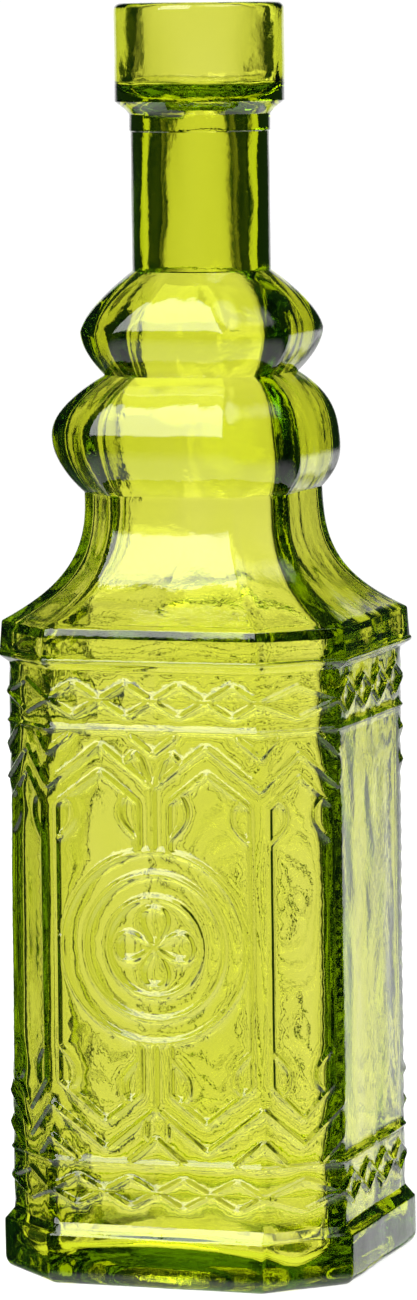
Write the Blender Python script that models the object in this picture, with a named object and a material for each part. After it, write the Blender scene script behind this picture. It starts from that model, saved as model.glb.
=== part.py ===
"""Square glass bottle with a faceted, ringed shoulder, in metres, +Z up.

The bottle is one piece of moulded glass, open at the mouth. Its origin is the centre of the ring
that it stands on, under a shallow push-up. Seen from above it is a square with cut corners from
the foot to the shoulder, and round in the neck and collar. The face with the medallion looks
towards -Y, and its twin towards +Y.
"""

import math

import bmesh
import bpy

MM = 0.001

# Driving dimensions. A half is the distance from the axis to a wide face, or a round part's radius.
HEIGHT = 165 * MM
BODY_HALF_LOW = 22.6 * MM
BODY_HALF_HIGH = 22.4 * MM
FOOT_HALF = 23.85 * MM
CORNICE_HALF_LOW = 23.7 * MM
CORNICE_HALF_HIGH = 23.25 * MM
LOWER_RING_HALF = 16.85 * MM
UPPER_RING_HALF = 14.2 * MM
NECK_RADIUS = 9.1 * MM
COLLAR_RADIUS = 11.1 * MM
MOUTH_RADIUS = 8.3 * MM
BORE_RADIUS = 4.9 * MM
WALL = 3.2 * MM
BODY_WALL = 3.0 * MM
SHOULDER_WALL = 3.0 * MM
ROOF_WALL = 1.6 * MM  # the thickness of glass over the cornice's hollow
FLOOR = 2.5 * MM  # the height of the hollow's lowest edge
PUSH_UP = 3.5 * MM  # the rise of the underside and of the floor towards the axis
PUSH_UP_RADIUS = 20.5 * MM

# Heights above the underside.
HEEL = 1.8 * MM
FOOT_TOP = 6.8 * MM
BODY_BOTTOM = 8.0 * MM
LOW_RIB = 16.2 * MM
HIGH_RIB = 72.4 * MM
BODY_TOP = 80.0 * MM
CORNICE_BOTTOM = 80.9 * MM
CORNICE_TOP = 85.4 * MM
LOWER_WAIST = 101.7 * MM
LOWER_RING = 108.6 * MM
UPPER_WAIST = 116.9 * MM
UPPER_RING = 122.6 * MM
NECK_BOTTOM = 130.3 * MM
LEDGE_BOTTOM = 148.5 * MM
NECK_TOP = 150.6 * MM
COLLAR_BOTTOM = 152.3 * MM
THROAT = 152.6 * MM
MOUTH_FLOOR = 154.9 * MM

# Details. A power says how full a curve is: 2 is a parabola.
LOWER_WAIST_HALF = 13.9 * MM
UPPER_WAIST_HALF = 11.3 * MM
HEEL_RUN = 1.3 * MM
RIB_WIDTH = 1.4 * MM
RIB_HEIGHT = 0.45 * MM
LEDGE_HEIGHT = 0.15 * MM
RIM_EDGE = 0.9 * MM
EDGE_STEPS = 3
FLARE_STEPS = 10
RING_STEPS = 6
FLARE_POWER = 3.0
INNER_FLARE_POWER = 2.8
THROAT_POWER = 1.5
UPPER_RING_POWER = 1.8
LOWER_RING_POWER = 2.2
DOME_POWER = 4
DOME_STEPS = 6
HOLLOW_EDGE = 2.5 * MM  # the radius between the hollow's wall and its floor
RING_WALL = 1.3 * WALL
WAIST_WALL = 0.9 * WALL
CORNICE_STEP = 1.0 * MM  # how far the hollow's step reaches above and below the cornice's underside

# The medallion's two raised hoops, on the -Y and +Y faces.
MEDALLION_HEIGHT = 44.4 * MM
HOOP_RADII = (12.5 * MM, 9.5 * MM)
HOOP_LINE = 0.42 * MM
HOOP_STEPS = 48
HOOP_SIDES = 6

# A section's shape: the share of its half that a cut corner takes off, and the share of its half
# to which the eight corners are rounded.
CIRCLE = (2 - math.sqrt(2), 1.0)
RING_SHAPE = (0.42, 0.18)
SHOULDER_SHAPE = (0.385, 0.04)
BODY_SHAPE = (0.36, 0.05)
HOLLOW_SHAPE = (0.28, 0.12)
RING_HOLLOW_SHAPE = (0.34, 0.15)

CORNERS = 8
POINTS_PER_CORNER = 4
FULL_SPREAD = math.radians(22.5)


def mixed(first, second, share):
    """The shape that lies the given share of the way from the first to the second."""
    return tuple(a + (b - a) * share for a, b in zip(first, second))


def section(height, half, shape):
    """Points round an octagon with cut and rounded corners, anticlockwise seen from above.

    It is the octagon shrunk by the rounding radius, with an arc of that radius at each corner.
    When the rounding takes up the whole half the octagon shrinks to nothing and a circle is left.
    """
    cut_share, round_share = shape
    radius = half * round_share
    core = half - radius
    short = core - (half * cut_share - CIRCLE[0] * radius)
    spread = FULL_SPREAD * (1 - round_share / POINTS_PER_CORNER)
    points = []
    for corner in range(CORNERS):
        middle = math.radians(22.5 + 45 * corner)
        beside_x_face = abs(math.cos(middle)) > abs(math.sin(middle))
        reach_x, reach_y = (core, short) if beside_x_face else (short, core)
        centre_x = math.copysign(reach_x, math.cos(middle))
        centre_y = math.copysign(reach_y, math.sin(middle))
        for step in range(POINTS_PER_CORNER):
            angle = middle + spread * (2 * step / (POINTS_PER_CORNER - 1) - 1)
            x = centre_x + radius * math.cos(angle)
            y = centre_y + radius * math.sin(angle)
            points.append((x, y, height))
    return points


def quarter_round(height, half, rise, run, shape):
    """Sections along a quarter circle that starts level and ends upright, from (height, half)."""
    stations = []
    for step in range(EDGE_STEPS + 1):
        angle = math.radians(90) * step / EDGE_STEPS
        z = height + rise * (1 - math.cos(angle))
        stations.append((z, half + run * math.sin(angle), shape))
    return stations


def rib(height, half, shape):
    """A low rounded band round the body."""
    stations = []
    for step in range(EDGE_STEPS + 2):
        angle = math.radians(180) * step / (EDGE_STEPS + 1)
        z = height - RIB_WIDTH / 2 * math.cos(angle)
        stations.append((z, half + RIB_HEIGHT * math.sin(angle), shape))
    return stations


def ring_side(waist, widest, power, shapes, steps):
    """Sections from a waist to a ring's widest point, each given as (height, half)."""
    stations = []
    for step in range(steps + 1):
        t = 1 - step / steps
        z = widest[0] + (waist[0] - widest[0]) * t
        half = waist[1] + (widest[1] - waist[1]) * (1 - t**power)
        stations.append((z, half, mixed(shapes[1], shapes[0], t)))
    return stations


def dome(edge):
    """Sections from near the axis out to an edge, falling away from the push-up's height."""
    stations = []
    for step in range(1, DOME_STEPS + 1):
        share = step / DOME_STEPS
        z = edge[0] + PUSH_UP * math.sqrt(1 - share**DOME_POWER)
        stations.append((z, edge[1] * share, mixed(CIRCLE, edge[2], share)))
    return stations


def foot():
    """The push-up, the ring round it, the heel and the ledge up to the body."""
    push_up = dome((0, PUSH_UP_RADIUS, CIRCLE))
    heel = quarter_round(0, FOOT_HALF - HEEL_RUN, HEEL, HEEL_RUN, SHOULDER_SHAPE)
    top = [(FOOT_TOP, FOOT_HALF, SHOULDER_SHAPE)]
    top.append((BODY_BOTTOM, BODY_HALF_LOW, BODY_SHAPE))
    return push_up + heel + top


def body():
    """The body's wall between its two ribs."""
    low = rib(LOW_RIB, BODY_HALF_LOW, BODY_SHAPE)
    high = rib(HIGH_RIB, BODY_HALF_HIGH, BODY_SHAPE)
    return low + high + [(BODY_TOP, BODY_HALF_HIGH, BODY_SHAPE)]


def cornice():
    return [
        (CORNICE_BOTTOM, CORNICE_HALF_LOW, SHOULDER_SHAPE),
        (CORNICE_TOP, CORNICE_HALF_HIGH, SHOULDER_SHAPE),
    ]


def flare():
    """The hollow-curved roof from the cornice up to the lower waist."""
    stations = []
    for step in range(1, FLARE_STEPS + 1):
        t = 1 - step / FLARE_STEPS
        half = LOWER_WAIST_HALF + (CORNICE_HALF_HIGH - LOWER_WAIST_HALF) * t**FLARE_POWER
        z = LOWER_WAIST + (CORNICE_TOP - LOWER_WAIST) * t
        stations.append((z, half, mixed(RING_SHAPE, SHOULDER_SHAPE, t)))
    return stations


def rings():
    """The two swollen rings, from the lower waist up to the neck."""
    lower_waist = (LOWER_WAIST, LOWER_WAIST_HALF)
    lower = (LOWER_RING, LOWER_RING_HALF)
    upper_waist = (UPPER_WAIST, UPPER_WAIST_HALF)
    upper = (UPPER_RING, UPPER_RING_HALF)
    neck = (NECK_BOTTOM, NECK_RADIUS)
    same = (RING_SHAPE, RING_SHAPE)
    to_round = (CIRCLE, RING_SHAPE)
    return (
        ring_side(lower_waist, lower, LOWER_RING_POWER, same, RING_STEPS)[1:]
        + ring_side(upper_waist, lower, LOWER_RING_POWER, same, RING_STEPS)[-2::-1]
        + ring_side(upper_waist, upper, UPPER_RING_POWER, same, RING_STEPS)[1:]
        + ring_side(neck, upper, UPPER_RING_POWER, to_round, RING_STEPS)[-2::-1]
    )


def neck():
    ledge_radius = NECK_RADIUS + LEDGE_HEIGHT
    return [
        (LEDGE_BOTTOM - LEDGE_HEIGHT, NECK_RADIUS, CIRCLE),
        (LEDGE_BOTTOM, ledge_radius, CIRCLE),
        (NECK_TOP, ledge_radius, CIRCLE),
    ]


def collar():
    """The collar, over its rounded rim and down into the mouth."""
    outer_edge = quarter_round(HEIGHT, COLLAR_RADIUS - RIM_EDGE, -RIM_EDGE, RIM_EDGE, CIRCLE)
    inner_edge = quarter_round(HEIGHT, MOUTH_RADIUS + RIM_EDGE, -RIM_EDGE, -RIM_EDGE, CIRCLE)
    return [(COLLAR_BOTTOM, COLLAR_RADIUS, CIRCLE)] + outer_edge[::-1] + inner_edge


def bore():
    """The wide mouth and the narrow bore of the neck, downwards."""
    mouth_floor = (MOUTH_FLOOR, MOUTH_RADIUS)
    throat = (THROAT, BORE_RADIUS)
    curve = ring_side(throat, mouth_floor, THROAT_POWER, (CIRCLE, CIRCLE), EDGE_STEPS)
    return curve[::-1] + [(NECK_BOTTOM, BORE_RADIUS, CIRCLE)]


def ring_hollows():
    """The inside of the two rings, downwards from the bore to the lower waist."""
    shape = RING_HOLLOW_SHAPE
    same = (shape, shape)
    bore_end = (NECK_BOTTOM, BORE_RADIUS)
    upper = (UPPER_RING, UPPER_RING_HALF - RING_WALL)
    waist = (UPPER_WAIST, UPPER_WAIST_HALF - WAIST_WALL)
    lower = (LOWER_RING, LOWER_RING_HALF - RING_WALL)
    lower_waist = (LOWER_WAIST, LOWER_WAIST_HALF - WAIST_WALL)
    steps = RING_STEPS // 2
    return (
        ring_side(bore_end, upper, UPPER_RING_POWER, (CIRCLE, shape), steps)[1:]
        + ring_side(waist, upper, UPPER_RING_POWER, same, steps)[-2::-1]
        + ring_side(waist, lower, LOWER_RING_POWER, same, steps)[1:]
        + ring_side(lower_waist, lower, LOWER_RING_POWER, same, steps)[-2::-1]
    )


def flare_hollow():
    """The inside of the flare, from the lower waist down into the cornice."""
    waist = LOWER_WAIST_HALF - WAIST_WALL
    shoulder = CORNICE_HALF_HIGH - SHOULDER_WALL
    stations = []
    for step in range(1, FLARE_STEPS + 1):
        t = step / FLARE_STEPS
        half = waist + (shoulder - waist) * t**INNER_FLARE_POWER
        z = LOWER_WAIST + (CORNICE_TOP - ROOF_WALL - LOWER_WAIST) * t
        stations.append((z, half, mixed(RING_HOLLOW_SHAPE, HOLLOW_SHAPE, t)))
    stations.append((CORNICE_BOTTOM + CORNICE_STEP, shoulder, HOLLOW_SHAPE))
    stations.append((CORNICE_BOTTOM - CORNICE_STEP, BODY_HALF_HIGH - BODY_WALL, HOLLOW_SHAPE))
    return stations


def hollow():
    """The inside of the rings, shoulder and body, downwards to the floor."""
    half = BODY_HALF_LOW - BODY_WALL
    floor_half = half - HOLLOW_EDGE
    edge = quarter_round(FLOOR, floor_half, HOLLOW_EDGE, HOLLOW_EDGE, HOLLOW_SHAPE)
    floor = dome((FLOOR, floor_half, HOLLOW_SHAPE))
    return ring_hollows() + flare_hollow() + edge[:0:-1] + floor[::-1]


def lofted_mesh(stations):
    """A closed mesh through the stations in order, capped at both ends."""
    mesh = bmesh.new()
    loops = []
    for height, half, shape in stations:
        loops.append([mesh.verts.new(point) for point in section(height, half, shape)])
    for below, above in zip(loops, loops[1:]):
        for i, vertex in enumerate(below):
            j = (i + 1) % len(below)
            mesh.faces.new((vertex, below[j], above[j], above[i]))
    mesh.faces.new(loops[0][::-1])
    mesh.faces.new(loops[-1])
    return mesh


def glass_material():
    """Clear yellow-green bottle glass."""
    material = bpy.data.materials.new("green_glass")
    material.use_nodes = True
    shader = material.node_tree.nodes["Principled BSDF"]
    shader.inputs["Base Color"].default_value = (0.62, 0.70, 0.03, 1)
    shader.inputs["Metallic"].default_value = 0.0
    shader.inputs["Roughness"].default_value = 0.03
    shader.inputs["IOR"].default_value = 1.52
    shader.inputs["Transmission Weight"].default_value = 1.0
    return material


def build_bottle(collection):
    """The bottle without its hoops: one loft, up the outside and down the inside."""
    outside = foot() + body() + cornice() + flare() + rings() + neck() + collar()
    inside = bore() + hollow()
    loft = lofted_mesh(outside + inside)
    data = bpy.data.meshes.new("glass_bottle")
    loft.to_mesh(data)
    loft.free()
    bottle = bpy.data.objects.new("glass_bottle", data)
    collection.objects.link(bottle)
    data.materials.append(glass_material())
    data.shade_smooth()
    data.set_sharp_from_angle(angle=math.radians(30))
    return bottle


def build_hoop(name, radius, side, collection):
    """A raised hoop of the medallion, half sunk in the wide face on the given side, -1 or 1."""
    bpy.ops.mesh.primitive_torus_add(
        major_radius=radius,
        minor_radius=HOOP_LINE,
        major_segments=HOOP_STEPS,
        minor_segments=HOOP_SIDES,
        location=(0, side * (BODY_HALF_LOW + BODY_HALF_HIGH) / 2, MEDALLION_HEIGHT),
        rotation=(math.radians(90), 0, 0),
    )
    hoop = bpy.context.object
    hoop.name = name
    hoop.hide_render = True
    hoop.display_type = "WIRE"
    for holder in list(hoop.users_collection):
        holder.objects.unlink(hoop)
    collection.objects.link(hoop)
    return hoop


def join_hoops(bottle, collection):
    for side in (-1, 1):
        for number, radius in enumerate(HOOP_RADII):
            hoop = build_hoop(f"hoop_{side}_{number}", radius, side, collection)
            union = bottle.modifiers.new(hoop.name, "BOOLEAN")
            union.operation = "UNION"
            union.object = hoop


def clear_scene():
    for old in list(bpy.data.objects):
        bpy.data.objects.remove(old)


def new_collection(name):
    collection = bpy.data.collections.new(name)
    bpy.context.scene.collection.children.link(collection)
    return collection


def main():
    clear_scene()
    bottle = build_bottle(new_collection("glass_bottle"))
    join_hoops(bottle, new_collection("helpers"))


main()
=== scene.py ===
"""The looks of the square bottle: yellow-green moulded glass on a pale floor, in soft studio light.

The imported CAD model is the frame. Its plain bottle is stood for by one finer closed mesh of the same
sizes, which adds the raised ornament of the mould and the uneven inside. Sizes are in millimetres in
the functions below, and become scene metres in joined_mesh.
"""

import math

import bmesh
import bpy
import numpy as np
from mathutils import Matrix, Vector
from mathutils.geometry import delaunay_2d_cdt


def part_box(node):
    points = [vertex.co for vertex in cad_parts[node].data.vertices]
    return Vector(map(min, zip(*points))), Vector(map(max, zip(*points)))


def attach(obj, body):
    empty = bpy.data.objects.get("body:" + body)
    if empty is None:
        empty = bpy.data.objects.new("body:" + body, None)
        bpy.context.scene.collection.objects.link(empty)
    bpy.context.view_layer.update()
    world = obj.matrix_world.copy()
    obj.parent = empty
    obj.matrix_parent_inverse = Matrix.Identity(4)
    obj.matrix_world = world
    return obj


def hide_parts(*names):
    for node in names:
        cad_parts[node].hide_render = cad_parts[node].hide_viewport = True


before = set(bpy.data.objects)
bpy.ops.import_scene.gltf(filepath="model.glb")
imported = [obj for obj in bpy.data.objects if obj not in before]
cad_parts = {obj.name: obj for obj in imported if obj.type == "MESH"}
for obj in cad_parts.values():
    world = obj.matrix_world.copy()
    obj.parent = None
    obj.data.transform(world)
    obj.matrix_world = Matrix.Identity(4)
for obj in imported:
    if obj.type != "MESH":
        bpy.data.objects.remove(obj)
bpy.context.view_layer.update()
cad_low, cad_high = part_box("glass_bottle")

HEIGHT = 165.0
MM = (cad_high.z - cad_low.z) / HEIGHT

# A half is the distance from the axis to a wide face, or a round part's radius.
BODY_HALF_LOW = 22.6
BODY_HALF_HIGH = 22.4
FOOT_HALF = 23.85
CORNICE_HALF_LOW = 23.7
CORNICE_HALF_HIGH = 23.25
LOWER_RING_HALF = 16.85
UPPER_RING_HALF = 14.2
LOWER_WAIST_HALF = 13.9
UPPER_WAIST_HALF = 11.3
NECK_RADIUS = 9.1
COLLAR_RADIUS = 11.1
MOUTH_RADIUS = 8.3
BORE_RADIUS = 4.9

# The glass's thickness, from the side; ROOF_WALL is the thickness over the cornice's hollow.
WALL = 3.2
RING_WALL = 1.3 * WALL
WAIST_WALL = 0.9 * WALL
BODY_WALL = 3.0
SHOULDER_WALL = 3.0
ROOF_WALL = 1.6

# Heights above the underside. FLOOR is the height of the hollow's lowest edge.
HEEL = 1.8
FLOOR = 2.5
FOOT_TOP = 6.8
BODY_BOTTOM = 8.0
LOW_RIB = 16.2
HIGH_RIB = 72.4
BODY_TOP = 80.0
CORNICE_BOTTOM = 80.9
CORNICE_TOP = 85.4
LOWER_WAIST = 101.7
LOWER_RING = 108.6
UPPER_WAIST = 116.9
UPPER_RING = 122.6
NECK_BOTTOM = 130.3
LEDGE_BOTTOM = 148.5
NECK_TOP = 150.6
COLLAR_BOTTOM = 152.3
THROAT = 152.6
MOUTH_FLOOR = 154.9

# Details of the outside and the inside.
HEEL_RUN = 1.3
FOOT_EDGE = 0.4
FLOOR_EDGE = 2.5
PUSH_UP = 3.5
PUSH_UP_RADIUS = 20.5
LIP = 0.14
LIP_WIDTH = 0.7
LEDGE_HEIGHT = 0.15
RIM_EDGE = 0.9
CORNICE_STEP = 1

# A power says how full a curve is: 2 is a parabola.
FLARE_POWER = 3
INNER_FLARE_POWER = 2.8
LOWER_RING_POWER = 2.2
UPPER_RING_POWER = 1.8
THROAT_POWER = 1.5
DOME_POWER = 4

# The rings stand off the axis by SWAY, which fades out within about SWAY_REACH of SWAY_HEIGHT.
SWAY = (-0.95, -0.31)
SWAY_HEIGHT = 110.0
SWAY_REACH = 5.0

# The floor's edge rises by ARCH in the middle of a wide face. The rise fades out ARCH_HEIGHT above
# the floor, and on the floor it fades towards the axis from ARCH_REACH.
ARCH = 2.2
ARCH_HEIGHT = 8
ARCH_REACH = 14

# A section is an octagon with cut and rounded corners. Its shape is the share of the half that a
# cut corner takes off, and the share of the half to which the eight corners are rounded.
CIRCLE_CUT = 2 - math.sqrt(2)
CIRCLE = (CIRCLE_CUT, 1.0)
RING_SHAPE = (0.42, 0.18)
SHOULDER_SHAPE = (0.385, 0.04)
BODY_SHAPE = (0.36, 0.05)
HOLLOW_SHAPE = (0.28, 0.12)
RING_HOLLOW_SHAPE = (0.34, 0.15)

# The eight faces in turn, anticlockwise from +X: wide, cut, wide, cut... A rounded corner takes up
# CORNER_SHARE of the face on each side of it. A flat face turns only in its corners, and a face of a
# round section makes CROWN_SHARE of its turn between them.
FACES = 8
PLUS_Y_FACE = 2
MINUS_Y_FACE = 6
CORNER_SHARE = 0.1
CROWN_SHARE = 0.6
WIDE_COLUMNS = 20
CUT_COLUMNS = 8

# Raised lines of the ornament, as half their width and their height.
LINE = (0.6, 0.34)
HOOP = (0.68, 0.33)
RIB = (0.48, 0.3)

# Places in the ornament. A frieze is its height and the swing of its zigzags. Bends and chevrons are
# heights, and a tick has one height next to a rib and one at the face's middle or edge. STEM is
# measured from the face's middle and EDGE_STEM from its edge.
MEDALLION = 44.4
HOOP_RADII = (12.45, 9.45, 6.4)
FRIEZES = ((76.2, 2.1), (12.4, 1.95))
DIAMONDS_PER_FACE = 4
STEM = 2.1
STEM_BENDS = (63.0, 25.2)
EDGE_STEM = 1.25
EDGE_BENDS = (62.6, 26.6)
TOP_CHEVRON = 65.0
LOW_CHEVRON = 23.4
LOW_CHEVRON_END = 23.7
TOP_TICK = (71.6, 69.3)
LOW_TICK = (16.6, 19.5)

# Spacing of the points on the body's wall. LINE_ROWS are shares of a line's half width. A gap is the
# least distance to the points that are there already.
LINE_STEP = 0.5
LINE_ROWS = (0, 0.3, -0.3, 0.6, -0.6, 0.95, -0.95)
LINE_GAP = 0.14
PLAIN_STEP = 1.3
PLAIN_GAP = 0.6
SEAM_STEP = 0.6
EDGE_GAP = 0.2

# The glass. ABSORBED is how strongly it absorbs red, green and blue, per metre; DENSITY only has to
# be above all three. RIPPLE is the depth of the fine ripples.
SURFACE_TINT = (1.0, 0.965, 0.87, 1)
ABSORBED = (50.0, 33.0, 380.0)
DENSITY = 400.0
IOR = 1.52
RIPPLE = 0.03
RIPPLES_PER_MM = 0.8
SHARP_ANGLE = 38
MERGE_DISTANCE = 0.004

# The light by direction, in the camera's axes: x to its right, y up and z forward, of length 1. The
# backdrop is bright while |x| + NARROWING |y| is below the first of SIDES, and gone beyond the
# second. It also fades in between the two values of z in BACK_HALF and of y in BELOW_BACKDROP, and
# the light table below fades in between those of y in TABLE. Lamps are given in degrees, and a
# rectangular one by its azimuths, counted from the camera to its right, and its elevations.
BACKDROP = 1.05
SIDES = (0.4, 0.58)
NARROWING = 0.6
FALL_OFF = 1.0
BACK_HALF = (-0.35, 0.1)
BELOW_BACKDROP = (-0.55, -0.25)
DARK = 0.03
DARK_TINT = (0.45, 1.0, 0.5, 1)
TINT_ENDS = 0.3
SOFTBOX = ((-56, -18), (8, 64))
SOFTBOX_LIGHT = 6.0
SIDE_PANEL = ((138, 152), (-30, -3))
SIDE_PANEL_LIGHT = 1.1
TOP_LAMP_DIRECTION = (0.32, 0.83, -0.44)
TOP_LAMP_ANGLES = (12, 26)
TOP_LAMP_LIGHT = 3.0
TABLE = (-0.3, -0.7)
TABLE_LIGHT = 1.2

# The camera, in degrees and millimetres from the bottle's axis and underside.
SENSOR = 36
LENS = 175.5
CAMERA_DISTANCE = 826.4
CAMERA_HEIGHT = 167.2
CAMERA_ASIDE = 0.33
CAMERA_AZIMUTH = 18.09
CAMERA_PITCH = 5.99
CAMERA_ROLL = 0.643


def mixed(first, second, share):
    """The numbers that lie the given share of the way from the first to the second."""
    return tuple(a + (b - a) * share for a, b in zip(first, second))


# --- sections and the columns of points round them -----------------------------------------------


def corner_centre(corner, core, short):
    """Where the arc of a rounded corner has its centre."""
    middle = np.radians(22.5 + 45 * corner)
    by_x_face = np.abs(np.cos(middle)) > np.abs(np.sin(middle))
    x = np.where(by_x_face, core, short) * np.sign(np.cos(middle))
    y = np.where(by_x_face, short, core) * np.sign(np.sin(middle))
    return x, y


def outline(place, half, cut, rounding):
    """Points and outward directions at places round a section; a face spans one unit of place."""
    face = np.floor(place)
    share = place - face
    radius = half * rounding
    core = half - radius
    short = core - (half * cut - CIRCLE_CUT * radius)
    spread = math.radians(22.5) * (1 - CROWN_SHARE * rounding)
    along = np.clip((share - CORNER_SHARE) / (1 - 2 * CORNER_SHARE), 0, 1)
    start = np.clip(share / CORNER_SHARE, 0, 1)
    end = np.clip((share - 1 + CORNER_SHARE) / CORNER_SHARE, 0, 1)
    angle = np.radians(45 * face - 22.5) + spread * (start + end)
    angle = angle + along * (math.radians(45) - 2 * spread)
    x0, y0 = corner_centre(face - 1, core, short)
    x1, y1 = corner_centre(face, core, short)
    out = np.stack([np.cos(angle), np.sin(angle)], -1)
    middle = np.stack([x0 + (x1 - x0) * along, y0 + (y1 - y0) * along], -1)
    return middle + radius[..., None] * out, out


def face_places(face):
    """The places of the columns on one face, closer together round its corners."""
    inner = WIDE_COLUMNS if face % 2 == 0 else CUT_COLUMNS
    flat = np.linspace(CORNER_SHARE, 1 - CORNER_SHARE, inner + 2)
    arc = np.array([0, CORNER_SHARE / 2])
    return face + np.concatenate([arc, flat, [1 - CORNER_SHARE / 2]])


def column_places():
    """The places of a loft's columns, from the middle of the +X face round to it again."""
    places = np.concatenate([face_places(face) for face in range(FACES)])
    middle = 0.5
    places = np.where(places < middle, places + FACES, places)
    return np.concatenate([[middle], np.sort(places[places > middle]), [FACES + middle]])


COLUMNS = column_places()


# --- stations of the lofts: a height, a half and a shape -----------------------------------------


def quarter_round(height, half, rise, run, shape, steps=6):
    """Stations along a quarter circle that starts level and ends upright, from (height, half)."""
    stations = []
    for step in range(steps + 1):
        angle = math.radians(90) * step / steps
        z = height + rise * (1 - math.cos(angle))
        stations.append((z, half + run * math.sin(angle), shape))
    return stations


def ring_side(waist, widest, power, shapes, steps=14):
    """Stations from a waist to a ring's widest point, each given as (height, half)."""
    stations = []
    for step in range(steps + 1):
        t = 1 - step / steps
        z = widest[0] + (waist[0] - widest[0]) * t
        half = waist[1] + (widest[1] - waist[1]) * (1 - t**power)
        stations.append((z, half, mixed(shapes[1], shapes[0], t)))
    return stations


def straight(first, last, steps):
    """Stations at even steps from the first to the last, both included."""
    stations = []
    for step in range(steps + 1):
        share = step / steps
        z, half = mixed(first[:2], last[:2], share)
        stations.append((z, half, mixed(first[2], last[2], share)))
    return stations


def domed(edge, steps):
    """Stations from near the axis out to an edge, falling away from the push-up's height."""
    stations = []
    for step in range(steps + 1):
        share = max(step / steps, 0.02)
        z = edge[0] + PUSH_UP * math.sqrt(1 - share**DOME_POWER)
        stations.append((z, edge[1] * share, mixed(CIRCLE, edge[2], share)))
    return stations


def underside():
    """From near the axis out to the heel, then up the foot to the body."""
    rest = (0, PUSH_UP_RADIUS, CIRCLE)
    ring = straight(rest, (0, FOOT_HALF - HEEL_RUN, SHOULDER_SHAPE), 4)
    flat = domed(rest, 12) + ring[1:]
    heel = quarter_round(0, FOOT_HALF - HEEL_RUN, HEEL, HEEL_RUN, SHOULDER_SHAPE)
    edge = quarter_round(FOOT_TOP, FOOT_HALF - FOOT_EDGE, -FOOT_EDGE, FOOT_EDGE, SHOULDER_SHAPE, 3)
    side = straight(heel[-1], edge[-1], 8)
    ledge = straight(edge[1], (BODY_BOTTOM, BODY_HALF_LOW, BODY_SHAPE), 5)
    return flat + heel[1:] + side[1:] + edge[-2:1:-1] + ledge


def cornice():
    """The cornice, with a small rounded lip along its lower edge."""
    shoulder = (BODY_TOP, BODY_HALF_HIGH, BODY_SHAPE)
    under = straight(shoulder, (CORNICE_BOTTOM, CORNICE_HALF_LOW, SHOULDER_SHAPE), 4)
    lip = []
    steps = 8
    for step in range(1, steps):
        share = step / steps
        z = CORNICE_BOTTOM + LIP_WIDTH * share
        lip.append((z, CORNICE_HALF_LOW + LIP * math.sin(math.pi * share), SHOULDER_SHAPE))
    low = (CORNICE_BOTTOM + LIP_WIDTH, CORNICE_HALF_LOW - 0.08, SHOULDER_SHAPE)
    high = (CORNICE_TOP - 0.2, CORNICE_HALF_HIGH + 0.1, SHOULDER_SHAPE)
    return under + lip + straight(low, high, 3)


def flare():
    """The hollow-curved roof from the cornice up to the lower waist."""
    stations = []
    steps = 24
    for step in range(steps + 1):
        t = 1 - step / steps
        half = LOWER_WAIST_HALF + (CORNICE_HALF_HIGH - LOWER_WAIST_HALF) * t**FLARE_POWER
        z = LOWER_WAIST + (CORNICE_TOP - LOWER_WAIST) * t
        stations.append((z, half, mixed(RING_SHAPE, SHOULDER_SHAPE, t)))
    return stations


def rings():
    """The two swollen rings, from the lower waist up to the neck."""
    lower_waist = (LOWER_WAIST, LOWER_WAIST_HALF)
    lower = (LOWER_RING, LOWER_RING_HALF)
    upper_waist = (UPPER_WAIST, UPPER_WAIST_HALF)
    upper = (UPPER_RING, UPPER_RING_HALF)
    neck = (NECK_BOTTOM, NECK_RADIUS)
    same = (RING_SHAPE, RING_SHAPE)
    to_round = (CIRCLE, RING_SHAPE)
    return (
        ring_side(lower_waist, lower, LOWER_RING_POWER, same)[1:]
        + ring_side(upper_waist, lower, LOWER_RING_POWER, same)[-2::-1]
        + ring_side(upper_waist, upper, UPPER_RING_POWER, same)[1:]
        + ring_side(neck, upper, UPPER_RING_POWER, to_round)[-2::-1]
    )


def neck():
    """The neck with its low band, and the cove up to the collar."""
    band_radius = NECK_RADIUS + LEDGE_HEIGHT
    start = (NECK_BOTTOM + 0.6, NECK_RADIUS, CIRCLE)
    shaft = straight(start, (LEDGE_BOTTOM - LEDGE_HEIGHT, NECK_RADIUS, CIRCLE), 20)
    band = straight((LEDGE_BOTTOM, band_radius, CIRCLE), (NECK_TOP, band_radius, CIRCLE), 3)
    cove = [
        (NECK_TOP + 0.7, NECK_RADIUS + 0.7, CIRCLE),
        (NECK_TOP + 1.3, COLLAR_RADIUS - 0.5, CIRCLE),
    ]
    return shaft + band + cove


def collar():
    """The collar and its rounded rim, over the top."""
    outer_edge = quarter_round(HEIGHT, COLLAR_RADIUS - RIM_EDGE, -RIM_EDGE, RIM_EDGE, CIRCLE)
    inner_edge = quarter_round(HEIGHT, MOUTH_RADIUS + RIM_EDGE, -RIM_EDGE, -RIM_EDGE, CIRCLE)
    side = straight((COLLAR_BOTTOM, COLLAR_RADIUS, CIRCLE), outer_edge[-1], 10)
    return side + outer_edge[-2::-1] + inner_edge


def mouth_and_bore():
    """The wide mouth, the curved throat and the narrow bore of the neck, downwards."""
    mouth_end = (MOUTH_FLOOR, MOUTH_RADIUS, CIRCLE)
    mouth = straight((HEIGHT - 1.6, MOUTH_RADIUS, CIRCLE), mouth_end, 6)
    throat = ring_side((THROAT, BORE_RADIUS), mouth_end[:2], THROAT_POWER, (CIRCLE, CIRCLE), 10)
    bore = straight((THROAT - 0.5, BORE_RADIUS, CIRCLE), (NECK_BOTTOM, BORE_RADIUS, CIRCLE), 20)
    return mouth[1:] + throat[-2::-1] + bore


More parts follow.
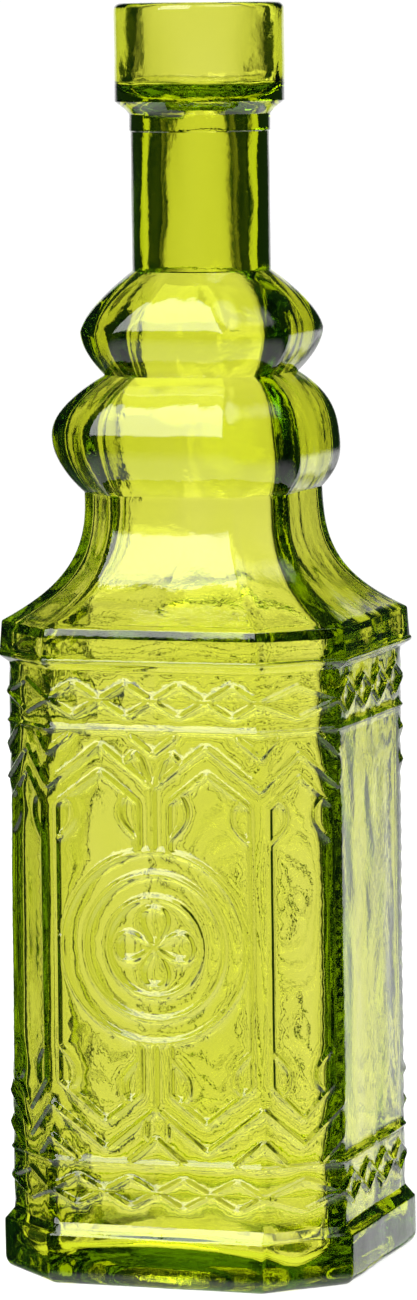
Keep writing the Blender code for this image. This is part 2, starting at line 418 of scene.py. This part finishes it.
def ring_hollows():
    """The inside of the two rings, downwards from the bore to the lower waist."""
    shape = RING_HOLLOW_SHAPE
    same = (shape, shape)
    bore_end = (NECK_BOTTOM, BORE_RADIUS)
    upper = (UPPER_RING, UPPER_RING_HALF - RING_WALL)
    waist = (UPPER_WAIST, UPPER_WAIST_HALF - WAIST_WALL)
    lower = (LOWER_RING, LOWER_RING_HALF - RING_WALL)
    lower_waist = (LOWER_WAIST, LOWER_WAIST_HALF - WAIST_WALL)
    return (
        ring_side(bore_end, upper, UPPER_RING_POWER, (CIRCLE, shape))[1:]
        + ring_side(waist, upper, UPPER_RING_POWER, same)[-2::-1]
        + ring_side(waist, lower, LOWER_RING_POWER, same)[1:]
        + ring_side(lower_waist, lower, LOWER_RING_POWER, same)[-2::-1]
    )


def flare_hollow():
    """The inside of the flare, down into the cornice and in again to the body's wall."""
    waist = LOWER_WAIST_HALF - WAIST_WALL
    shoulder = CORNICE_HALF_HIGH - SHOULDER_WALL
    top = CORNICE_TOP - ROOF_WALL
    stations = []
    steps = 20
    for step in range(1, steps + 1):
        t = step / steps
        half = waist + (shoulder - waist) * t**INNER_FLARE_POWER
        z = LOWER_WAIST + (top - LOWER_WAIST) * t
        stations.append((z, half, mixed(RING_HOLLOW_SHAPE, HOLLOW_SHAPE, t)))
    niche_top = (CORNICE_BOTTOM + CORNICE_STEP, shoulder, HOLLOW_SHAPE)
    niche_end = (CORNICE_BOTTOM - CORNICE_STEP, BODY_HALF_HIGH - BODY_WALL, HOLLOW_SHAPE)
    return stations + straight(niche_top, niche_end, 4)


def body_hollow():
    """The body's inner wall and floor, downwards and in to near the axis."""
    low = BODY_HALF_LOW - BODY_WALL
    wall_top = (CORNICE_BOTTOM - 1.5, BODY_HALF_HIGH - BODY_WALL, HOLLOW_SHAPE)
    wall = straight(wall_top, (FLOOR + FLOOR_EDGE, low, HOLLOW_SHAPE), 40)
    edge = quarter_round(FLOOR, low - FLOOR_EDGE, FLOOR_EDGE, FLOOR_EDGE, HOLLOW_SHAPE)
    floor = domed((FLOOR, low - FLOOR_EDGE, HOLLOW_SHAPE), 12)[::-1]
    return wall + edge[-2::-1] + floor[1:]


# --- lofts, with the unevenness of moulded glass -------------------------------------------------


def wobble(points, wavelength, amount, seed, upright):
    """A smooth random height at each point, as a sum of waves that are longer up than across."""
    random = np.random.default_rng(seed)
    waves = 16
    directions = random.normal(size=(waves, 3))
    directions /= np.linalg.norm(directions, axis=1)[:, None]
    directions[:, 2] /= upright
    lengths = wavelength * random.uniform(0.6, 1.7, waves)
    phases = random.uniform(0, 2 * math.pi, waves)
    angles = points @ (directions * (2 * math.pi / lengths)[:, None]).T + phases
    return amount * math.sqrt(2 / waves) * np.sin(angles).sum(1)


def outer_uneven(points):
    """The faint waves of the outside, which the mould keeps nearly flat."""
    long = wobble(points, wavelength=10, amount=0.05, seed=1, upright=3)
    return long + wobble(points, wavelength=4, amount=0.01, seed=2, upright=2)


def inner_uneven(points):
    """The stronger waves of the inside, which no mould touches."""
    long = wobble(points, wavelength=12, amount=0.16, seed=3, upright=4)
    return long + wobble(points, wavelength=4, amount=0.04, seed=4, upright=2)


def blended_uneven(points):
    """The outer kind at the rim, turning into the inner kind further down the mouth."""
    share = np.clip((HEIGHT - 1 - points[:, 2]) / 8, 0, 1)
    return outer_uneven(points) * (1 - share) + inner_uneven(points) * share


def floor_arch(points, place):
    """How far points near the floor's edge rise: most at the middle of each wide face."""
    nearest_wide_middle = np.round(place / 2 - 0.25) * 2 + 0.5
    aside = np.abs(place - nearest_wide_middle)
    across = 0.5 + 0.5 * np.cos(math.pi * np.clip(aside, 0, 1))
    near_floor = np.clip((FLOOR + ARCH_HEIGHT - points[:, 2]) / ARCH_HEIGHT, 0, 1)
    out = np.clip(np.abs(points[:, :2]).max(1) / ARCH_REACH, 0, 1)
    return ARCH * across * near_floor**2 * out**2


def swayed(points):
    """The points with those near the rings moved a little off the axis."""
    share = np.exp(-(((points[:, 2] - SWAY_HEIGHT) / SWAY_REACH) ** 2))
    points[:, :2] += share[:, None] * np.array(SWAY)
    return points


def loft(stations, uneven, lift=None):
    """Vertices and faces through the stations; uneven gives the points' shifts outwards."""
    rows = len(stations)
    columns = len(COLUMNS)
    place = np.tile(COLUMNS % FACES, rows)
    z = np.repeat([s[0] for s in stations], columns)
    half = np.repeat([s[1] for s in stations], columns)
    cut = np.repeat([s[2][0] for s in stations], columns)
    rounding = np.repeat([s[2][1] for s in stations], columns)
    flat, out = outline(place, half, cut, rounding)
    points = np.column_stack([flat, z])
    points[:, :2] += out * uneven(points)[:, None]
    if lift:
        points[:, 2] += lift(points, place)
    points = swayed(points)
    corners = np.arange(rows * columns).reshape(rows, columns)
    faces = np.stack([corners[:-1, :-1], corners[:-1, 1:], corners[1:, 1:], corners[1:, :-1]], -1)
    return points, faces.reshape(-1, 4).tolist()


def cap(points, ring, way):
    """Closes one ring of a loft with a fan of faces round its middle."""
    middle = points[ring].mean(0)
    faces = []
    last = len(points)
    for a, b in zip(ring, ring[1:]):
        faces.append([a, b, last][::way])
    return np.vstack([points, middle]), faces


# --- the body's wall, unrolled -------------------------------------------------------------------


def unrolled():
    """Distances round the body's wall and their places, starting at the middle of the +X face."""
    half = (BODY_HALF_LOW + BODY_HALF_HIGH) / 2
    knots = [0.5]
    for face in range(1, FACES + 1):
        knots += [face - CORNER_SHARE, face, face + CORNER_SHARE]
    knots.append(FACES + 0.5)
    places = np.array(knots)
    fine = np.linspace(places[:-1], places[1:], 9, axis=1)[:, :-1].ravel()
    fine = np.append(fine, places[-1])
    count = np.ones(len(fine))
    points, _ = outline(fine % FACES, half * count, BODY_SHAPE[0] * count, BODY_SHAPE[1] * count)
    lengths = np.linalg.norm(np.diff(points, axis=0), axis=1)
    return np.concatenate([[0], np.cumsum(lengths)]), fine


GIRTH_KNOTS, PLACE_KNOTS = unrolled()
GIRTH = GIRTH_KNOTS[-1]


def distance_round(place):
    """How far round the unrolled wall a place lies."""
    return np.interp(place, PLACE_KNOTS, GIRTH_KNOTS)


def face_middle(face):
    """How far round the unrolled wall the middle of a face lies."""
    return float(distance_round(face + 0.5))


def face_edge(face):
    """Distance from a face's middle to the middle of its rounded corner."""
    return float(distance_round(face + 1) - distance_round(face + 0.5))


WIDE_REACH = face_edge(PLUS_Y_FACE)
CUT_REACH = face_edge(PLUS_Y_FACE + 1)


def moved(lines, distance):
    """The lines, shifted round the wall."""
    return [[(distance + x, z) for x, z in line] for line in lines]


def mirrored(lines):
    """The lines and their mirror images across the face's middle."""
    return lines + [[(-x, z) for x, z in line] for line in lines]


def circle_line(radius, centre_x, centre_z, steps=72):
    line = []
    for step in range(steps + 1):
        angle = 2 * math.pi * step / steps
        line.append((centre_x + radius * math.sin(angle), centre_z + radius * math.cos(angle)))
    return line


def rosette_lines():
    """Four leaf loops inside the medallion's inner hoop."""
    length = 5.1
    half_width = 1.75
    steps = 24
    lines = []
    for quarter in range(4):
        turn = math.radians(90 * quarter)
        line = []
        for step in range(steps + 1):
            t = math.radians(180) * step / steps
            out = length * math.sin(t)
            side = half_width * math.sin(2 * t)
            x = out * math.sin(turn) + side * math.cos(turn)
            z = out * math.cos(turn) - side * math.sin(turn)
            line.append((x, MEDALLION + z))
        lines.append(line)
    return lines


def leaf(stem, bend, way):
    """A small loop on the outer side of a stem next to its bend; way is 1 above and -1 below."""
    return [
        (stem + 1.5, bend + way * 0.9),
        (stem + 2.25, bend + way * 0.1),
        (stem + 2.5, bend - way * 1.0),
        (stem + 2.3, bend - way * 2.1),
        (stem + 1.6, bend - way * 3.1),
        (stem + 0.8, bend - way * 3.9),
        (stem, bend - way * 4.6),
    ]


def near_leaf(stem, bend, way):
    """The same loop on the side of the stem that faces the middle."""
    return [(2 * stem - x, z) for x, z in leaf(stem, bend, way)]


def wide_face_lines():
    """The right half of a wide face's ornament, from its middle to its edge."""
    edge = WIDE_REACH
    stem = edge - EDGE_STEM
    ring = math.sqrt(HOOP_RADII[0] ** 2 - STEM**2)
    top, low = STEM_BENDS
    edge_top, edge_low = EDGE_BENDS
    frame_line = [
        (STEM, MEDALLION + ring),
        (STEM, top),
        (7.2, 67.0),
        (stem, edge_top),
        (stem, edge_low),
        (6.8, 21.5),
        (STEM, low),
        (STEM, MEDALLION - ring),
    ]
    return [
        frame_line,
        [(0, TOP_CHEVRON), (7.2, 70.5), (edge, TOP_CHEVRON)],
        [(0, TOP_TICK[1]), (3.0, TOP_TICK[0])],
        [(edge - 3.0, TOP_TICK[0]), (edge, TOP_TICK[1])],
        [(0, 65.1), (1.1, 67.0), (1.6, 68.6), (2.6, 69.5), (3.7, 68.3)],
        leaf(STEM, top, 1),
        near_leaf(stem, edge_top, 1),
        leaf(STEM, low, -1),
        near_leaf(stem, edge_low, -1),
        [(0, LOW_CHEVRON), (6.8, 17.9), (edge, LOW_CHEVRON_END)],
        [(0, LOW_TICK[1]), (3.5, LOW_TICK[0])],
        [(edge - 3.5, LOW_TICK[0]), (edge, LOW_TICK[1])],
        [(1.5, 21.7), (1.5, 19.9)],
    ]


def centre_lines():
    """The middle stem above and below the medallion."""
    ring = HOOP_RADII[0]
    above = [(0, MEDALLION + ring), (0, TOP_CHEVRON)]
    below = [(0, MEDALLION - ring), (0, LOW_CHEVRON)]
    return [above, below]


def cut_face_lines():
    """The right half of a cut face's ornament, which carries on from the wide faces."""
    edge = CUT_REACH
    stem = edge - EDGE_STEM
    top, low = EDGE_BENDS
    return [
        [(0, 66.6), (stem, top), (stem, low), (0, 22.2)],
        [(0, 69.6), (edge, TOP_CHEVRON)],
        [(edge, LOW_CHEVRON_END), (0, 18.8)],
        [(edge - 2.6, TOP_TICK[0]), (edge, TOP_TICK[1])],
        [(edge - 3.0, LOW_TICK[0]), (edge, LOW_TICK[1])],
        near_leaf(stem, top, 1),
        near_leaf(stem, low, -1),
    ]


def frieze_crossings():
    """Distances round the wall at which the two zigzags of a frieze cross."""
    crossings = []
    for face in range(FACES + 1):
        count = DIAMONDS_PER_FACE if face % 2 == 0 else 1
        reach = WIDE_REACH if face % 2 == 0 else CUT_REACH
        middle = face_middle(face) if face < FACES else GIRTH
        for i in range(count + 1):
            crossings.append(middle - reach + 2 * reach * i / count)
    return sorted(set(round(crossing, 6) for crossing in crossings))


def frieze_lines():
    """Two crossing zigzags round the whole body, in each frieze."""
    crossings = frieze_crossings()
    lines = []
    for height, swing in FRIEZES:
        for way in (1, -1):
            for a, b in zip(crossings, crossings[1:]):
                lines.append([(a, height), ((a + b) / 2, height + way * swing), (b, height)])
    return lines


def ornament():
    """Every raised line on the unrolled wall, each with its profile."""
    found = [(line, LINE) for line in frieze_lines()]
    for face in (PLUS_Y_FACE, MINUS_Y_FACE):
        lines = mirrored(wide_face_lines()) + centre_lines() + rosette_lines()
        found += [(line, LINE) for line in moved(lines, face_middle(face))]
        hoops = [circle_line(radius, 0, MEDALLION) for radius in HOOP_RADII]
        found += [(line, HOOP) for line in moved(hoops, face_middle(face))]
    for face in range(1, FACES, 2):
        lines = moved(mirrored(cut_face_lines()), face_middle(face))
        found += [(line, LINE) for line in lines]
    return found


def resampled(line, step):
    """Points at even steps along a line, and the unit normals there."""
    corners = np.array(line, float)
    lengths = np.concatenate([[0], np.cumsum(np.linalg.norm(np.diff(corners, axis=0), axis=1))])
    count = max(2, int(math.ceil(lengths[-1] / step)) + 1)
    at = np.linspace(0, lengths[-1], count)
    points = np.column_stack([np.interp(at, lengths, corners[:, i]) for i in (0, 1)])
    ahead = np.gradient(points, axis=0)
    ahead /= np.linalg.norm(ahead, axis=1)[:, None]
    return points, np.column_stack([-ahead[:, 1], ahead[:, 0]])


def raised(distance, profile):
    """The height of a raised line at a distance from its middle."""
    half_width, height = profile
    inside_line = np.clip(distance / half_width, 0, 1)
    return height * (0.5 + 0.5 * np.cos(math.pi * inside_line))


def relief(points, lines):
    """How far the ornament stands out at each unrolled point."""
    height = np.zeros(len(points))
    for rib in (LOW_RIB, HIGH_RIB):
        height = np.maximum(height, raised(np.abs(points[:, 1] - rib), RIB))
    for line, profile in lines:
        corners = np.array(line, float)
        lowest = corners.min(0) - profile[0]
        highest = corners.max(0) + profile[0]
        near = np.flatnonzero(((points > lowest) & (points < highest)).all(1))
        if not len(near):
            continue
        nearest = np.full(len(near), np.inf)
        here = points[near]
        for a, b in zip(corners, corners[1:]):
            along = np.clip(((here - a) @ (b - a)) / ((b - a) @ (b - a)), 0, 1)
            gap = np.linalg.norm(here - a - along[:, None] * (b - a), axis=1)
            nearest = np.minimum(nearest, gap)
        height[near] = np.maximum(height[near], raised(nearest, profile))
    return height


class Thinner:
    """Keeps points that are far enough from those kept before them, which it finds by grid cell."""

    def __init__(self, cell):
        self.cell = cell
        self.cells = {}
        self.kept = []

    def add(self, points, gap):
        """Keeps those of the points that are at least the gap from every kept point."""
        reach = int(math.ceil(gap / self.cell))
        for x, z in points.tolist():
            i, j = int(x // self.cell), int(z // self.cell)
            near = (
                other
                for di in range(-reach, reach + 1)
                for dj in range(-reach, reach + 1)
                for other in self.cells.get((i + di, j + dj), ())
            )
            if all((x - ox) ** 2 + (z - oz) ** 2 >= gap * gap for ox, oz in near):
                self.cells.setdefault((i, j), []).append((x, z))
                self.kept.append((x, z))


def within_edges(points):
    """The points that lie clear of the unrolled wall's own edges."""
    keep = (points[:, 0] > EDGE_GAP) & (points[:, 0] < GIRTH - EDGE_GAP)
    keep &= (points[:, 1] > BODY_BOTTOM + EDGE_GAP) & (points[:, 1] < BODY_TOP - EDGE_GAP)
    return points[keep]


def add_edge_points(thinner):
    """The columns' ends along the top and bottom, and even steps up both sides of the seam."""
    round_wall = distance_round(COLUMNS)
    seam = np.arange(BODY_BOTTOM, BODY_TOP, SEAM_STEP)[1:]
    for z in (BODY_BOTTOM, BODY_TOP):
        thinner.add(np.column_stack([round_wall, np.full(len(round_wall), z)]), 0)
    for u in (0, GIRTH):
        thinner.add(np.column_stack([np.full(len(seam), u), seam]), 0)


def plain_grid():
    """Staggered rows of points for the smooth glass between the lines."""
    grid = []
    for row, z in enumerate(np.arange(BODY_BOTTOM, BODY_TOP, PLAIN_STEP * 0.87)):
        for u in np.arange(PLAIN_STEP / 2 * (row % 2), GIRTH, PLAIN_STEP):
            grid.append((u, z))
    return np.array(grid)


def wall_points(lines):
    """Points over the unrolled wall, in rows along every raised line and sparse between them."""
    thinner = Thinner(0.3)
    add_edge_points(thinner)
    ribs = [([(0, z), (GIRTH, z)], RIB) for z in (LOW_RIB, HIGH_RIB)]
    traced = [(*resampled(line, LINE_STEP), profile[0]) for line, profile in ribs + lines]
    for share in LINE_ROWS:
        for points, sideways, half_width in traced:
            thinner.add(within_edges(points + sideways * half_width * share), LINE_GAP)
    thinner.add(within_edges(plain_grid()), PLAIN_GAP)
    return thinner.kept


def body_wall():
    """Vertices and faces of the wall from the foot to the cornice, with its ornament."""
    lines = ornament()
    given = [Vector(point) for point in wall_points(lines)]
    flat, _, faces, _, _, _ = delaunay_2d_cdt(given, [], [], 0, 1e-6)
    unrolled_points = np.array([tuple(point) for point in flat])
    u, z = unrolled_points.T
    place = np.interp(u, GIRTH_KNOTS, PLACE_KNOTS) % FACES
    share = (z - BODY_BOTTOM) / (BODY_TOP - BODY_BOTTOM)
    half = BODY_HALF_LOW + (BODY_HALF_HIGH - BODY_HALF_LOW) * share
    count = np.ones(len(u))
    wall, out = outline(place, half, BODY_SHAPE[0] * count, BODY_SHAPE[1] * count)
    points = np.column_stack([wall, z])
    points[:, :2] += out * (outer_uneven(points) + relief(unrolled_points, lines))[:, None]
    return points, [list(face) for face in faces]


# --- the bottle ----------------------------------------------------------------------------------


def foot_shell():
    """The underside and foot, closed at the axis."""
    points, faces = loft(underside(), outer_uneven)
    points, fan = cap(points, list(range(len(COLUMNS))), -1)
    return points, faces + fan


def hollow_shell(rim):
    """Everything inside, from the rim's last station to the floor, closed at the axis."""
    stations = [rim] + mouth_and_bore() + ring_hollows() + flare_hollow() + body_hollow()
    points, faces = loft(stations, blended_uneven, floor_arch)
    columns = len(COLUMNS)
    last_row = list(range((len(stations) - 1) * columns, len(stations) * columns))
    points, fan = cap(points, last_row, 1)
    return points, faces + fan


def joined_mesh(shells):
    """One closed mesh of the shells, in scene metres, with their shared edges merged."""
    vertices, faces, start = [], [], 0
    for points, its_faces in shells:
        vertices.append(points)
        faces += [[start + i for i in face] for face in its_faces]
        start += len(points)
    mesh = bpy.data.meshes.new("moulded_glass")
    mesh.from_pydata((np.vstack(vertices) * MM).tolist(), [], faces)
    work = bmesh.new()
    work.from_mesh(mesh)
    bmesh.ops.remove_doubles(work, verts=work.verts, dist=MERGE_DISTANCE * MM)
    bmesh.ops.triangulate(work, faces=work.faces)
    work.to_mesh(mesh)
    work.free()
    return mesh


def build_glass():
    """The bottle, shell by shell: foot, wall, everything above the wall, and the hollow."""
    top = cornice() + flare() + rings() + neck() + collar()
    shells = [foot_shell(), body_wall(), loft(top, outer_uneven), hollow_shell(top[-1])]
    mesh = joined_mesh(shells)
    mesh.shade_smooth()
    mesh.set_sharp_from_angle(angle=math.radians(SHARP_ANGLE))
    mesh.materials.append(glass_material())
    glass = bpy.data.objects.new("moulded_glass", mesh)
    bpy.context.scene.collection.objects.link(glass)
    return glass


def add_ripples(tree, shader):
    """Ripples of the surface too fine to model."""
    place = tree.nodes.new("ShaderNodeTexCoord")
    noise = tree.nodes.new("ShaderNodeTexNoise")
    noise.inputs["Scale"].default_value = RIPPLES_PER_MM / MM
    noise.inputs["Detail"].default_value = 3
    bump = tree.nodes.new("ShaderNodeBump")
    bump.inputs["Distance"].default_value = RIPPLE * MM
    bump.inputs["Strength"].default_value = 1
    tree.links.new(place.outputs["Object"], noise.inputs["Vector"])
    tree.links.new(noise.outputs["Fac"], bump.inputs["Height"])
    tree.links.new(bump.outputs["Normal"], shader.inputs["Normal"])


def add_depth_colour(tree):
    """Colour that deepens with the thickness of the glass."""
    volume = tree.nodes.new("ShaderNodeVolumeAbsorption")
    volume.inputs["Color"].default_value = (*(1 - a / DENSITY for a in ABSORBED), 1)
    volume.inputs["Density"].default_value = DENSITY
    tree.links.new(volume.outputs["Volume"], tree.nodes["Material Output"].inputs["Volume"])


def glass_material():
    """Clear glass, faintly tinted at its surface and strongly in its depth."""
    material = bpy.data.materials.new("green_glass")
    material.use_nodes = True
    tree = material.node_tree
    shader = tree.nodes["Principled BSDF"]
    shader.inputs["Base Color"].default_value = SURFACE_TINT
    shader.inputs["Roughness"].default_value = 0.0
    shader.inputs["IOR"].default_value = IOR
    shader.inputs["Transmission Weight"].default_value = 1.0
    add_ripples(tree, shader)
    add_depth_colour(tree)
    return material


# --- the studio ----------------------------------------------------------------------------------


def floor_material():
    """White, with only a faint shade where the bottle stands."""
    material = bpy.data.materials.new("pale_floor")
    material.use_nodes = True
    shader = material.node_tree.nodes["Principled BSDF"]
    shader.inputs["Base Color"].default_value = (0.3, 0.3, 0.3, 1)
    shader.inputs["Roughness"].default_value = 1
    shader.inputs["Specular IOR Level"].default_value = 0
    shader.inputs["Emission Color"].default_value = (1, 1, 1, 1)
    shader.inputs["Emission Strength"].default_value = 0.95
    return material


def build_floor():
    """A round floor just under the bottle, seen by the camera but not through the glass."""
    radius = 0.6
    steps = 64
    points = []
    for step in range(steps):
        angle = 2 * math.pi * step / steps
        points.append((radius * math.cos(angle), radius * math.sin(angle), 0))
    mesh = bpy.data.meshes.new("floor")
    mesh.from_pydata(points, [], [list(range(steps))])
    mesh.materials.append(floor_material())
    floor = bpy.data.objects.new("floor", mesh)
    floor.location.z = cad_low.z - 0.02 * MM
    bpy.context.scene.collection.objects.link(floor)
    floor.visible_glossy = False
    floor.visible_transmission = False


def math_node(tree, operation, *values):
    """A math node's output; each value is a number or another node's output."""
    node = tree.nodes.new("ShaderNodeMath")
    node.operation = operation
    for slot, value in enumerate(values):
        if isinstance(value, bpy.types.NodeSocket):
            tree.links.new(value, node.inputs[slot])
        else:
            node.inputs[slot].default_value = value
    return node.outputs[0]


def ramp(tree, value, low, high):
    """0 at low and 1 at high, smooth between them; low may be above high."""
    node = tree.nodes.new("ShaderNodeMapRange")
    node.interpolation_type = "SMOOTHSTEP"
    node.inputs["From Min"].default_value = low
    node.inputs["From Max"].default_value = high
    tree.links.new(value, node.inputs["Value"])
    return node.outputs["Result"]


def round_lamp(tree, direction, towards, angles):
    """1 within the first of two angles from a direction, falling smoothly to 0 at the second."""
    dot = tree.nodes.new("ShaderNodeVectorMath")
    dot.operation = "DOT_PRODUCT"
    tree.links.new(direction, dot.inputs[0])
    dot.inputs[1].default_value = Vector(towards).normalized()
    inner, outer = (math.cos(math.radians(angle)) for angle in angles)
    return ramp(tree, dot.outputs["Value"], outer, inner)


def square_lamp(tree, parts, sizes, edge=4):
    """1 in a rectangle of azimuth, 0 towards the camera and positive to its right, and elevation."""
    back = math_node(tree, "MULTIPLY", parts.outputs["Z"], -1.0)
    azimuth = math_node(tree, "ARCTAN2", parts.outputs["X"], back)
    elevation = math_node(tree, "ARCSINE", parts.outputs["Y"])
    cover = 1.0
    for angle, (low, high) in zip((azimuth, elevation), sizes):
        for first, last in ((low - edge, low), (high + edge, high)):
            side = ramp(tree, angle, math.radians(first), math.radians(last))
            cover = math_node(tree, "MULTIPLY", cover, side)
    return cover


def backdrop_cover(tree, parts):
    """1 where the bright backdrop stands behind the bottle, dimmer towards its sides."""
    aside = math_node(tree, "ABSOLUTE", parts.outputs["X"])
    height = math_node(tree, "ABSOLUTE", parts.outputs["Y"])
    spread = math_node(tree, "MULTIPLY_ADD", height, NARROWING, aside)
    cover = ramp(tree, spread, SIDES[1], SIDES[0])
    squared = math_node(tree, "MULTIPLY", aside, aside)
    dimming = math_node(tree, "MULTIPLY_ADD", squared, -FALL_OFF, 1.0)
    cover = math_node(tree, "MULTIPLY", cover, dimming)
    cover = math_node(tree, "MULTIPLY", cover, ramp(tree, parts.outputs["Z"], *BACK_HALF))
    return math_node(tree, "MULTIPLY", cover, ramp(tree, parts.outputs["Y"], *BELOW_BACKDROP))


def studio_light(tree):
    """The brightness of the studio in each direction."""
    place = tree.nodes.new("ShaderNodeTexCoord")
    unit = tree.nodes.new("ShaderNodeVectorMath")
    unit.operation = "NORMALIZE"
    tree.links.new(place.outputs["Camera"], unit.inputs[0])
    direction = unit.outputs["Vector"]
    parts = tree.nodes.new("ShaderNodeSeparateXYZ")
    tree.links.new(direction, parts.inputs[0])
    backdrop = backdrop_cover(tree, parts)
    light = math_node(tree, "MULTIPLY_ADD", backdrop, BACKDROP - DARK, DARK)
    for cover, strength in (
        (square_lamp(tree, parts, SOFTBOX), SOFTBOX_LIGHT),
        (square_lamp(tree, parts, SIDE_PANEL), SIDE_PANEL_LIGHT),
        (round_lamp(tree, direction, TOP_LAMP_DIRECTION, TOP_LAMP_ANGLES), TOP_LAMP_LIGHT),
        (ramp(tree, parts.outputs["Y"], *TABLE), TABLE_LIGHT),
    ):
        light = math_node(tree, "MULTIPLY_ADD", cover, strength, light)
    return light


def light_tint(tree, strength):
    """White where there is light, and green where the bottle's dark outlines come from."""
    tint = tree.nodes.new("ShaderNodeMix")
    tint.data_type = "RGBA"
    factor, dark, bright = tint.inputs[0], tint.inputs[6], tint.inputs[7]
    tree.links.new(ramp(tree, strength, DARK, TINT_ENDS), factor)
    dark.default_value = DARK_TINT
    bright.default_value = (1, 1, 1, 1)
    return tint.outputs[2]


def build_world():
    """Studio light that turns with the camera; the camera itself sees plain white."""
    world = bpy.data.worlds.new("studio")
    bpy.context.scene.world = world
    world.use_nodes = True
    tree = world.node_tree
    background = tree.nodes["Background"]
    path = tree.nodes.new("ShaderNodeLightPath")
    seen = path.outputs["Is Camera Ray"]
    strength = math_node(tree, "MAXIMUM", studio_light(tree), seen)
    tree.links.new(strength, background.inputs["Strength"])
    tree.links.new(light_tint(tree, strength), background.inputs["Color"])


def camera_turn(sideways, forward):
    """The rotation of a camera that looks forward, tipped down and rolled."""
    pitch = math.radians(CAMERA_PITCH)
    roll = math.radians(CAMERA_ROLL)
    aim = forward * math.cos(pitch) - Vector((0, 0, math.sin(pitch)))
    up = sideways.cross(aim).normalized()
    rolled_side = sideways * math.cos(roll) - up * math.sin(roll)
    rolled_up = up * math.cos(roll) + sideways * math.sin(roll)
    return Matrix((rolled_side, rolled_up, -aim)).transposed().to_euler()


def build_camera():
    """The camera at the photograph's viewing angle, to the right of the medallion face."""
    data = bpy.data.cameras.new("camera")
    data.sensor_width = SENSOR
    data.lens = LENS
    data.clip_start = 0.05
    camera = bpy.data.objects.new("camera", data)
    bpy.context.scene.collection.objects.link(camera)
    bpy.context.scene.camera = camera
    azimuth = math.radians(CAMERA_AZIMUTH)
    sideways = Vector((math.cos(azimuth), math.sin(azimuth), 0))
    forward = Vector((-math.sin(azimuth), math.cos(azimuth), 0))
    place = -forward * CAMERA_DISTANCE + Vector((0, 0, CAMERA_HEIGHT)) + sideways * CAMERA_ASIDE
    camera.location = place * MM + Vector((0, 0, cad_low.z))
    camera.rotation_euler = camera_turn(sideways, forward)


def set_light_paths():
    """Enough bounces for light to leave two thick walls of glass, and plain display colours."""
    scene = bpy.context.scene
    scene.view_settings.view_transform = "Standard"
    scene.cycles.max_bounces = 24
    scene.cycles.transmission_bounces = 24
    scene.cycles.glossy_bounces = 12


def main():
    glass = build_glass()
    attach(glass, "root")
    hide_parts("glass_bottle")
    build_floor()
    build_world()
    build_camera()
    set_light_paths()


main()
